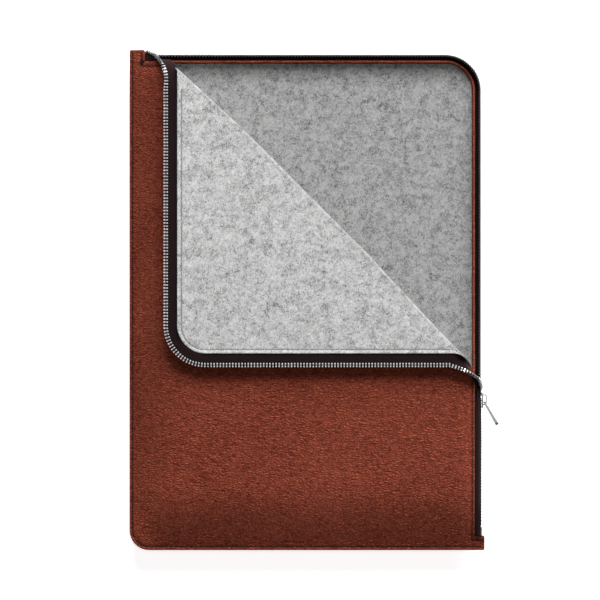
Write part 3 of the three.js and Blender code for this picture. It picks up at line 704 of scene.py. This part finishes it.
BROWN = leather("leather_chestnut", (0.275, 0.056, 0.028), (0.4, 0.098, 0.055), (0.12, 0.019, 0.0095))
EDGE = leather("leather_edge", (0.36, 0.085, 0.044), (0.46, 0.13, 0.074), (0.17, 0.034, 0.017))
GREYS = (0.1, 0.31, 0.5, 0.64, 0.8)
FELT = felt("felt_grey", GREYS, 0.62)
# A copy of the felt with deeper painted shade, for the fold's bulge.
FOLD_PAINTED_SHADE_FELT = felt("felt_grey_fold_painted_shade", GREYS, 0.56)
# A darker copy of the felt: painted shade for the back lining inside the pocket.
PAINTED_SHADE_INNER_FELT = felt("felt_grey_inner_painted_shade", (0.058, 0.19, 0.315, 0.405, 0.52), 0.62)
TAPE = woven("tape_dark", (0.014, 0.0055, 0.0062), (0.034, 0.0145, 0.016))
METAL = nickel("nickel_bright", (0.78, 0.78, 0.79), 0.2)
# A darker copy of the nickel, as painted shade, for the teeth of the fixed walls.
WALL_METAL = nickel("nickel_shaded", (0.2, 0.2, 0.205), 0.28)
SATIN_METAL = nickel("nickel_satin", (0.34, 0.34, 0.35), 0.26)
PULL_METAL = nickel("nickel_pull", (0.5, 0.5, 0.51), 0.3)
THREAD = spun("thread_dark", (0.024, 0.006, 0.004), (0.06, 0.016, 0.011))
FELT_THREAD = spun("thread_grey", (0.2, 0.2, 0.205), (0.4, 0.4, 0.4))


# ---------- panels ----------

def leather_relief(paths, seed):
    """The leather's slow unevenness and its stitched channels."""
    def relief(points):
        made = wave(points, 42, 0.22, seed) + wave(points, 15, 0.07, seed + 7)
        for path in paths:
            made = made + groove(points, path, 0.42)
        return made * np.clip(rise(points[:, 0] - LEFT, 6), 0.25, 1)
    return relief


def felt_relief(paths, seed):
    """The felt's lumps, and its stitched channels, which go the other way because it faces inwards."""
    def relief(points):
        made = wave(points, 24, 0.16, seed) + wave(points, 5.5, 0.1, seed + 3)
        made = made + wave(points, 2.6, 0.06, seed + 5)
        for path in paths:
            made = made - groove(points, path, 0.34, 0.7)
        return made
    return relief


def layer(name, node, body, shape, material, slot):
    """A panel as a piece cut to its outline, moving with its body in place of its CAD node."""
    piece = shape.build(name, material, slot, fold=body == "flap")
    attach(piece, body)
    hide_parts(node)


whole = leather_outline()
fixed = cut(whole, FIXED_SUM)
back_lining = lining_outline(LINING_INSET)
fixed_lining = cut(lining_outline(PANEL_INSET), FIXED_SUM)
flap = flap_outline()
felt_from = LEATHER + BOND

back_relief = leather_relief([SEAM_PATH, BACK_PATH], 3.1)
front_relief = leather_relief([SEAM_PATH, RIGHT_PATH, TOP_PATH], 11.4)
flap_relief = leather_relief([FLAP_PATH], 14.6)
flap_felt_relief = felt_relief([FLAP_PATH], 20.3)

# The back never bulges past the flat that it lies on.
layer("back_leather", "back_leather_panel", "sleeve",
      panel(whole, -1, 0, LEATHER, [SEAM_PATH, BACK_PATH],
            details=(lambda points: np.minimum(back_relief(points), 0), None)),
      BROWN, "leather")
layer("front_leather", "front_leather_panel", "sleeve",
      panel(fixed, 1, 0, LEATHER, [SEAM_PATH, RIGHT_PATH, TOP_PATH], cell=2.8, crease=FIXED_SUM,
            details=(front_relief, None)),
      BROWN, "leather")
# The back lining gets the felt with painted shade.
layer("back_felt", "back_felt_lining", "sleeve",
      panel(back_lining, -1, felt_from, PANEL, cell=3.4, edge=0.7, details=(None, felt_relief([], 5.2))),
      PAINTED_SHADE_INNER_FELT, "felt")
layer("front_felt", "front_felt_lining", "sleeve",
      panel(fixed_lining, 1, felt_from, PANEL, cell=3.4, edge=0.7, crease=FIXED_SUM,
            details=(None, felt_relief([], 8.8))),
      FELT, "felt")
layer("flap_leather", "flap_leather_panel", "flap",
      panel(flap, 1, 0, LEATHER, [FLAP_PATH], crease=MOVING_SUM, details=(flap_relief, None)),
      BROWN, "leather")
layer("flap_felt", "flap_felt_lining", "flap",
      panel(flap, 1, felt_from, PANEL, [FLAP_PATH], cell=2.0, edge=0.8, crease=MOVING_SUM,
            details=(None, flap_felt_relief)),
      FELT, "felt")


# ---------- the bend along the crease ----------

# How far the fold stands out, at places along the crease: it tightens towards both ends.
BOW_AT = (-176, -171, -152, -122, -98, 7, 32, 50, 75, 99, 111)
BOW = (0.38, 0.43, 0.65, 0.91, 1, 1, 0.76, 0.64, 0.45, 0.39, 0.3)
BEND_STEPS = 90
# The angles of the points round the fold, from the fixed wall at -90 degrees to the flap at 90.
LEATHER_ANGLES = [-90, -75, -60, -36, 36, 60, 75, 90]
FELT_ANGLES = [-90, -75, -60, -45, -32, -20, -10, -3, 3, 10, 20, 32, 45, 60, 75, 90]
# Where each layer starts and stops along the crease, beside the fixed wall and beside the flap.
LEATHER_ENDS = ((-171.3, -164), (108, 94))
FELT_ENDS = ((-172.8, -165), (109, 95.2))


def crease_point(u, v):
    """The plan place u beyond the crease and v along it."""
    return np.array([(u + v) / math.sqrt(2) + CREASE_SUM / 2, (u - v) / math.sqrt(2) + CREASE_SUM / 2])


def bend(depths, angles, ends, relief=0.0, squareness=1.0, fold_painted_shade=False):
    """The half turn of a layer over the crease, between the fixed walls and the flap, with painted shade on
    the fold's bulge if asked.
    """
    rings, dark = [], []
    for k in range(BEND_STEPS + 1):
        ring = []
        for depth, order in ((depths[0], angles), (depths[1], angles[::-1])):
            for angle in order:
                share = (angle + 90) / 180
                first, last = (np.interp(share, [0, 1], pair) for pair in ends)
                v = np.interp(k / BEND_STEPS, [0, 1], [first, last])
                near, far = crease_point(-FOLD_RADIUS, v), crease_point(FOLD_RADIUS, v)
                low = MID + bulge(*near)
                high = 2 * HINGE_Z - MID - bulge(*far)
                w = math.radians(angle)
                out = abs(math.cos(w)) ** squareness
                up = math.copysign(abs(math.sin(w)) ** squareness, w)
                radius = FOLD_GAP + depth
                if depth == depths[1]:
                    radius += relief * noise.noise(Vector((v / 4, angle / 40, 2.0))) * out
                centre = crease_point(-FOLD_RADIUS + radius * out * np.interp(v, BOW_AT, BOW), v)
                z = (low + high) / 2 + ((high - low) / 2 + depth) * up
                ring.append((centre[0], centre[1], z))
                # Painted shade, deepest where the fold stands out farthest.
                dark.append(out ** 0.5)
        rings.append(ring)
    shape = Shape().loft(rings)
    if fold_painted_shade:
        shape.dark = np.array(dark)
    return shape


def over_crease(piece, node):
    """The piece takes the place of its CAD node, with its place baked into its mesh."""
    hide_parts(node)
    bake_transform(piece)


crease_leather = bend((0, LEATHER), LEATHER_ANGLES, LEATHER_ENDS)
over_crease(crease_leather.build("crease_bend_leather", BROWN, "leather"), "crease_leather")
# The felt's fold gets painted shade on its bulge.
crease_felt = bend((felt_from, PANEL), FELT_ANGLES, FELT_ENDS, relief=0.1, squareness=0.58, fold_painted_shade=True)
over_crease(crease_felt.build("crease_bend_felt", FOLD_PAINTED_SHADE_FELT, "felt"), "crease_felt")


# ---------- rim and tapes ----------

def belongs(piece, body, node):
    """The piece moves with a body and stands for a CAD node."""
    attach(piece, body)
    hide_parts(node)


def panel_edge(p, s):
    """How far a panel's outside is from the middle plane beside a point of the zip's line."""
    return bulge(p[0] - s[0] * PANEL_INSET, p[1] - s[1] * PANEL_INSET)


rim_path = zip_line(RIM_LOW, RIM_LEFT)
rim_side = outward(rim_path)


def rim_section(i):
    """A strip on edge that stands from just inside the back leather, swaying a little."""
    low = panel_edge(rim_path[i], rim_side[i]) - LEATHER - 0.35
    high = low - min(3.4, low - 0.4)
    sway = 0.12 * noise.noise(Vector((i * 0.09, 4.0, 1.0)))
    a, b = -4.7 + sway, -3.2 + sway
    r = min(0.3, (low - high) / 3)
    return [(a, -low), (b, -low), (b, -high - r), (b - r, -high), (a + r, -high), (a, -high - r)]


rim = Shape().loft(sweep(rim_path, rim_section)).build("back_rim", EDGE, "rim_leather")
belongs(rim, "sleeve", "back_leather_rim")


def wall_tape(path, side, name, node):
    """The tape from a panel's edge to the teeth, with the cord along its edge."""
    out = outward(path)

    def section(i):
        high = panel_edge(path[i], out[i]) - LEATHER - 0.3
        shoulder, knee = max(0.92 * high, 4.1), max(0.66 * high, 3.7)
        line = smooth_line([(TAPE_FOOT, high), (-1.7, shoulder), (-0.5, knee), (0, TAPE_EDGE)], 3)
        return [(o, side * z) for o, z in thickened(line, 0.5)]

    shape = Shape().loft(sweep(path, section))
    centres = np.c_[path, np.full(len(path), MID + side * (TAPE_EDGE - 0.1))]
    shape.loft(cord_rings(centres, np.gradient(centres, axis=0), 0.5))
    belongs(shape.build(name, TAPE, "zip_tape"), "sleeve", node)


def flap_tape():
    """The tape that stands out from the flap's edge, with the cord along its own edge."""
    line = [(-0.6, 0.1), (1.0, 0.1), (2.6, 0.0), (4.6, 0.0), (7.0, 0.0)]
    section = [(o, z + FLAP_TAPE_Z - MID) for o, z in thickened(line, 0.5)]
    shape = Shape().loft(sweep(flap_edge(0), lambda i: section))
    edge = flap_edge(-6.9)
    centres = np.c_[edge, np.full(len(edge), FLAP_TAPE_Z)]
    shape.loft(cord_rings(centres, np.gradient(centres, axis=0), 0.55))
    belongs(shape.build("tape_flap", TAPE, "zip_tape", fold=True), "flap", "zip_tape_flap")


wall_tape(zip_line(TAPE_LOW, TAPE_LEFT), -1, "tape_back", "zip_tape_back")
wall_tape(side_line(TAPE_LOW, TAPE_HIGH), 1, "tape_front", "zip_tape_front")
flap_tape()


# ---------- teeth ----------

def row(path, phase, place, across, scale):
    """Teeth along a plan path."""
    flat, index = evenly(path, TOOTH_PITCH, phase)
    near = np.clip(index.round().astype(int), 0, len(path) - 1)
    ways = np.c_[np.gradient(path, axis=0), np.zeros(len(path))][near]
    sides = outward(path)[near]
    return Shape().copies(TOOTH, place(flat, sides), ways, across(sides), scale)


def wall_row(path, side, phase):
    """Teeth that stand across the zip, pushed apart above the slider, where it is open."""
    def place(flat, sides):
        on_top = flat[:, 0] < ZIP_X - 1
        open_share = np.where(on_top, 1.0, np.clip((flat[:, 1] - SLIDER_TOP + 3.6) / 1.2, 0, 1))
        return np.c_[flat, MID + side * (1.2 + 0.45 * open_share)]

    def across(sides):
        return np.tile([0.0, 0.0, -float(side)], (len(sides), 1))

    return row(path, phase, place, across, (1, 0.7, 1))


for made, name, node in (
        (wall_row(zip_line(TEETH_LOW, TEETH_LEFT), -1, 0.5), "teeth_back", "zip_teeth_back"),
        (wall_row(side_line(TEETH_LOW, TEETH_HIGH), 1, 1.0), "teeth_front", "zip_teeth_front")):
    belongs(made.build(name, WALL_METAL, "zip_metal", smooth=25), "sleeve", node)

flap_row = row(flap_edge(-7.4), 0.5, lambda flat, sides: np.c_[flat, np.full(len(flat), FLAP_TAPE_Z)],
               lambda sides: np.c_[sides, np.zeros(len(sides))], (1, 1, 1))
belongs(flap_row.build("teeth_flap", METAL, "zip_metal", fold=True, smooth=25), "flap", "zip_teeth_flap")

# Where the front half turns over at the crease's ends. A row is a place on the middle line of the teeth, the
# way that the teeth point there, the way from the tape to the teeth, and how far the tape reaches back.
TURNS = {
    "right": [
        ((89.9, -42.6, 28.7), (0, -1, 0), (0, -1, 0), 7.8),
        ((94.6, -43.1, 28.7), (0.05, -1, 0), (0.05, -1, 0), 7.8),
        ((101.6, -45.6, 28.3), (0.25, -0.9, 0.3), (0.25, -0.9, 0.3), 8.0),
        ((108.2, -48.8, 26.6), (0.5, -0.5, 0.7), (0.5, -0.5, 0.7), 6.4),
        ((113.2, -52.4, 22.4), (0.95, -0.1, 0.3), (0.95, -0.1, 0.3), 4.4),
        ((114.9, -57, 16.6), (0.8, 0, -0.6), (0.8, 0, -0.6), 4),
        ((114.3, -60, 14.1), (0.1, 0, -1), (0.5, 0, -0.87), 4),
        ((114.2, -63.2, 13), (0, 0, -1), (0.5, 0, -0.87), 4.4),
    ],
    "left": [
        ((-92.6, 134.1, 28.7), (-1, 0, 0), (-1, 0, 0), 7.8),
        ((-92.6, 138.9, 28.7), (-1, 0, 0), (-1, 0, 0), 7.8),
        ((-92.5, 145.5, 28.4), (-0.95, 0.1, 0.15), (-0.95, 0.1, 0.15), 8.4),
        ((-93.9, 152.3, 26.8), (-0.8, 0.35, 0.5), (-0.95, 0.05, 0.25), 8.4),
        ((-96.7, 157.6, 23), (-0.5, 0.6, 0.6), (-0.95, 0.3, 0.1), 8),
        ((-100.6, 161.6, 18.2), (0.3, 0.8, -0.5), (-0.2, 1, -0.1), 7.6),
        ((-106.2, 164, 13.2), (0.3, 0.5, -0.8), (0, 0.9, -0.44), 9.5),
    ],
}
# For each turn, a place in steps of its curve: between two teeth, at its nearest place to the crease.
CHANGES = {"right": 36.78, "left": 38.83}


def square_to(ways, wanted):
    """Unit vectors as near to the wanted ones as they can be while square to the ways."""
    made = wanted - ways * np.sum(wanted * ways, axis=1)[:, None]
    return made / np.linalg.norm(made, axis=1)[:, None]


def turn(end, rows, change_at):
    """The tape and the teeth that turn over at one end of the crease."""
    line, teeth_way, tape_way, reach = (np.array(column, float) for column in zip(*rows))
    curve = smooth_line(line, 10)
    at = np.linspace(0, len(line) - 1, len(curve))
    ways = np.gradient(curve, axis=0)
    ways /= np.linalg.norm(ways, axis=1)[:, None]
    across, back_way = square_to(ways, at_index(teeth_way, at)), square_to(ways, at_index(tape_way, at))
    normal = np.cross(ways, back_way)
    rings = []
    for c, a, n, far in zip(curve, back_way, normal, np.interp(at, np.arange(len(line)), reach)):
        section = [(-far, 0.12), (-far * 0.75, 0.3), (-far * 0.5, 0.3), (-0.4, 0.28)]
        upper = [c + a * r + n * h for r, h in section]
        lower = [c + a * r - n * h for r, h in reversed(section)]
        rings.append(upper + lower)
    shape = Shape().loft(rings)
    shape.loft(cord_rings(curve - back_way * 0.5, ways, 0.52))
    tape = shape.build(f"tape_turn_{end}", TAPE, "zip_tape")

    # The teeth get shorter as they go down into the wall, and painted shade darkens them there.
    places, index = evenly(curve, TOOTH_PITCH, 2.75)
    squeeze = np.interp(index, [0, len(curve) - 1], [1, 0.7])
    shape = Shape()
    for p, w, a, size in zip(places, at_index(ways, index), at_index(across, index), squeeze):
        shape.copies(TOOTH, [p], [w], [a], (1, size, 1))
    shape.dark = np.repeat(np.clip(index / len(curve) - 0.3, 0, 1) * 1.2, len(TOOTH[0]))
    teeth = shape.build(f"teeth_turn_{end}", METAL, "zip_metal", smooth=25)

    for piece, node in ((tape, f"zip_tape_turn_{end}"), (teeth, f"zip_teeth_turn_{end}")):
        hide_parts(node)
        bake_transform(piece)


for end, rows in TURNS.items():
    turn(end, rows, CHANGES[end])


# ---------- stitches ----------

def on_leather(relief):
    """The height of a leather face from the middle plane."""
    return lambda points: bulge(points[:, 0], points[:, 1]) + relief(points)


def under_felt(points):
    """The height of the flap's felt face from the middle plane."""
    return bulge(points[:, 0], points[:, 1]) - PANEL + flap_felt_relief(points)


for path, relief, side, name, node in (
        (SEAM_PATH, front_relief, 1, "stitches_seam_front", "seam_thread_front"),
        (RIGHT_PATH, front_relief, 1, "stitches_zip_right", "zip_thread_front_right"),
        (TOP_PATH, front_relief, 1, "stitches_zip_top", "zip_thread_front_top"),
        (SEAM_PATH, back_relief, -1, "stitches_seam_back", "seam_thread_back"),
        (BACK_PATH, back_relief, -1, "stitches_zip_back", "zip_thread_back")):
    belongs(stitches(Shape(), path, on_leather(relief), side).build(name, THREAD, "thread"), "sleeve", node)

leather_side = stitches(Shape(), FLAP_PATH, on_leather(flap_relief), 1)
belongs(leather_side.build("stitches_flap_leather", THREAD, "thread", fold=True),
        "flap", "flap_thread_leather_side")
felt_side = stitches(Shape(), FLAP_PATH, under_felt, 1, sink=-0.06)
belongs(felt_side.build("stitches_flap_felt", FELT_THREAD, "thread", fold=True),
        "flap", "flap_thread_felt_side")


# ---------- slider, stops and pull ----------

def finished(part, metal):
    """Gives a metal part its material and softens its edges."""
    part.data.materials.clear()
    part.data.materials.append(metal)
    bevel = part.modifiers.new("soft_edges", "BEVEL")
    bevel.width = 0.00014
    bevel.segments = 2
    bevel.limit_method = "ANGLE"
    bevel.angle_limit = math.radians(35)


# These keep their CAD shape.
for node in ("slider_body", "zip_bottom_stop", "zip_top_stop_back", "zip_top_stop_front"):
    finished(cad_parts[node], SATIN_METAL)

# Where the pull hangs from the slider and the way it points. Its swelling starts some way along it, grows over
# a length, and adds a share of its thickness.
PULL_PIVOT, PULL_ANGLE = (117.0, -67.4), math.radians(30)
SWELL_FROM, SWELL_OVER, SWELL = 4, 12, 0.8


def swelling_pull():
    """The pull: the CAD one's shape, but thicker towards its free end."""
    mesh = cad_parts["pull_tab"].data.copy()
    mesh.name = "zip_pull"
    points = np.array([v.co for v in mesh.vertices]) / MM
    pivot, way = np.array(PULL_PIVOT), np.array([math.sin(PULL_ANGLE), -math.cos(PULL_ANGLE)])
    side = np.array([-way[1], way[0]])
    along, off = (points[:, :2] - pivot) @ way, (points[:, :2] - pivot) @ side
    off = off * (1 + SWELL * np.clip((along - SWELL_FROM) / SWELL_OVER, 0, 1))
    points[:, :2] = pivot + along[:, None] * way + off[:, None] * side
    mesh.vertices.foreach_set("co", (points * MM).ravel())
    piece = bpy.data.objects.new("zip_pull", mesh)
    bpy.context.scene.collection.objects.link(piece)
    finished(piece, PULL_METAL)
    belongs(piece, "pull", "pull_tab")


swelling_pull()


# ---------- floor, light and camera ----------

FLOOR_HALF, FLOOR_DROP = 4.0, 0.0002
WORLD_LIGHT = 0.055
CAMERA_X, CAMERA_Y, CAMERA_HEIGHT = -0.00465, 0.00005, 2.6
# What the camera sees across, at the height of the zip's middle plane.
CAMERA_SPAN = 0.396
SENSOR = 36


def floor():
    """A pale floor that glows a little, so that it is nearly white everywhere."""
    n = Nodes("floor_pale")
    tint = n.ramp(n.noise(3.0, 2.0), [(0.3, (0.93, 0.93, 0.93)), (0.7, (0.96, 0.96, 0.96))])
    n.finish(Base_Color=tint, Roughness=0.9, Specular_IOR_Level=0.1, Emission_Color=(1, 1, 1, 1),
             Emission_Strength=0.78)
    mesh = bpy.data.meshes.new("floor")
    corners = [(x * FLOOR_HALF, y * FLOOR_HALF, 0) for x, y in ((-1, -1), (1, -1), (1, 1), (-1, 1))]
    mesh.from_pydata(corners, [], [(0, 1, 2, 3)])
    mesh.materials.append(n.material)
    plane = bpy.data.objects.new("floor", mesh)
    plane.location.z = -FLOOR_DROP
    bpy.context.scene.collection.objects.link(plane)


def area_light(name, at, size, power):
    """A soft light that faces the origin."""
    light = bpy.data.lights.new(name, "AREA")
    light.shape = "RECTANGLE"
    light.size, light.size_y = size
    light.energy = power
    lamp = bpy.data.objects.new(name, light)
    lamp.location = at
    lamp.rotation_mode = "QUATERNION"
    lamp.rotation_quaternion = (-Vector(at)).to_track_quat("-Z", "Y")
    bpy.context.scene.collection.objects.link(lamp)


def studio():
    """Dim even light from all round, in a room whose wall looks as pale as its floor."""
    world = bpy.data.worlds.new("studio")
    world.use_nodes = True
    nodes, links = world.node_tree.nodes, world.node_tree.links
    dim = nodes["Background"]
    dim.inputs["Color"].default_value = (1, 1, 1, 1)
    dim.inputs["Strength"].default_value = WORLD_LIGHT
    pale = nodes.new("ShaderNodeBackground")
    pale.inputs["Color"].default_value = (1, 1, 1, 1)
    seen, path = nodes.new("ShaderNodeMixShader"), nodes.new("ShaderNodeLightPath")
    links.new(path.outputs["Is Camera Ray"], seen.inputs[0])
    links.new(dim.outputs[0], seen.inputs[1])
    links.new(pale.outputs[0], seen.inputs[2])
    links.new(seen.outputs[0], nodes["World Output"].inputs["Surface"])
    bpy.context.scene.world = world
    bpy.context.scene.view_settings.view_transform = "Standard"


def camera_above():
    """The camera looks straight down from high above."""
    camera = bpy.data.cameras.new("camera")
    camera.sensor_width = SENSOR
    camera.lens = SENSOR * CAMERA_HEIGHT / CAMERA_SPAN
    camera.clip_end = 20
    eye = bpy.data.objects.new("camera", camera)
    eye.location = (CAMERA_X, CAMERA_Y, MID * MM + CAMERA_HEIGHT)
    bpy.context.scene.collection.objects.link(eye)
    bpy.context.scene.camera = eye


floor()
area_light("key", (0.75, 2.5, 1.36), (2.8, 1.6), 187)
area_light("overhead", (0, 0, 2.2), (1.1, 1.1), 6)
studio()
camera_above()
